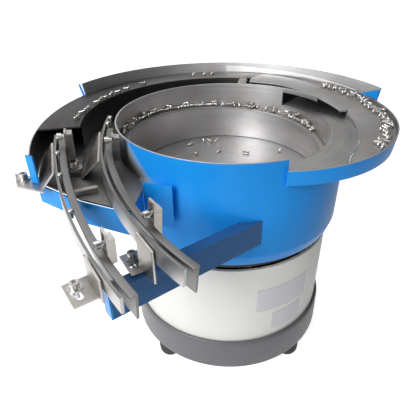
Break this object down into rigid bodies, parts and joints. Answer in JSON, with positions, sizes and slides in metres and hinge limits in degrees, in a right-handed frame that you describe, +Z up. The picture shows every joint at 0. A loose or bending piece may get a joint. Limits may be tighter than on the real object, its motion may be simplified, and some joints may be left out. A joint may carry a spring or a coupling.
{
  "type": "vibratory bowl feeder",
  "caption": "Vibratory bowl feeder: round drive on rubber feet, blue and stainless bowl with spiral track, outer selection tray with guard, and two curved sloping discharge rails",
  "frame": {"origin": "centre of the four rubber feet, in the plane they stand on, on the drive's vertical axis", "axes": "+Z up; the discharge rails leave towards -X and -Y; -Y is the front, where the rails point; +X is the right side seen from the front"},
  "size_m": [0.4758, 0.5463, 0.374],
  "materials": {
    "blue_paint": "gloss blue enamel",
    "white_paint": "satin off-white",
    "grey_paint": "satin grey on a casting",
    "black_plate": "black",
    "stainless": "brushed stainless sheet",
    "dark_sheet": "dull stainless sheet, in shadow",
    "ground_steel": "ground bar, brushed along its length",
    "zinc_steel": "plain steel fastener",
    "screw_steel": "bright small screws",
    "spring_steel": "rolled spring and laminated steel",
    "black_steel": "blackened block",
    "coil_wrap": "varnished coil wrapping",
    "black_plastic": "moulded black",
    "rubber": "matt rubber",
    "label_face": "blank plate"
  },
  "bodies": {
    "base": {"rubber_feet": "rubber", "foot_bolts": "zinc_steel", "base_casting": "grey_paint", "cover": "white_paint", "cable_gland": "black_plastic", "lower_blocks": "black_steel", "lower_bolts": "zinc_steel", "leaf_springs": "spring_steel", "magnet_bracket": "zinc_steel", "magnet_core": "spring_steel", "magnet_coil": "coil_wrap", "blank_labels": "label_face"},
    "bowl": {"top_frame": "black_steel", "upper_bolts": "zinc_steel", "armature": "spring_steel", "mounting_plate": "black_plate", "centre_bolt": "zinc_steel", "centre_washer": "zinc_steel", "bowl_shell": "blue_paint", "bowl_base": "stainless", "bowl_floor": "stainless", "inner_wall": "stainless", "spiral_track": "stainless", "step_wall": "stainless", "return_shelf": "stainless", "catch_floor": "dark_sheet", "outer_track": "stainless", "track_edge": "stainless", "selector_plate": "stainless", "notch_block": "stainless", "track_skirt": "dark_sheet", "tray_wall_front": "blue_paint", "tray_wall_back": "blue_paint", "tray_wall_left": "blue_paint", "guard": "stainless", "guard_gussets": "blue_paint", "guide_strip": "stainless", "pan_floor": "dark_sheet", "pan_front": "blue_paint", "flap": "blue_paint", "end_strip": "blue_paint", "box_beam": "blue_paint", "beam_cap": "blue_paint", "rail_1_bar": "ground_steel", "rail_1_angle": "ground_steel", "rail_2_bar": "ground_steel", "rail_2_angle": "ground_steel", "bracket_1a": "ground_steel", "bracket_1b": "ground_steel", "bracket_2a": "ground_steel", "bracket_2b": "ground_steel", "cross_bar": "ground_steel", "rail_base_plate": "dark_sheet", "slotted_plates": "ground_steel", "clamp_blocks": "ground_steel", "clamp_screws": "zinc_steel", "bracket_screws": "zinc_steel", "washers": "zinc_steel", "base_cap_screw": "zinc_steel", "fed_screws": "screw_steel"}
  },
  "joints": [
    {"name": "bowl_twist", "type": "hinge", "parent": "base", "child": "bowl", "pos_m": [0, 0, 0.1], "axis": [0, 0, 1], "range_deg": [-0.4, 0.4], "stiffness_Nm_per_rad": 1700, "deforming": ["leaf_springs"]}
  ]
}
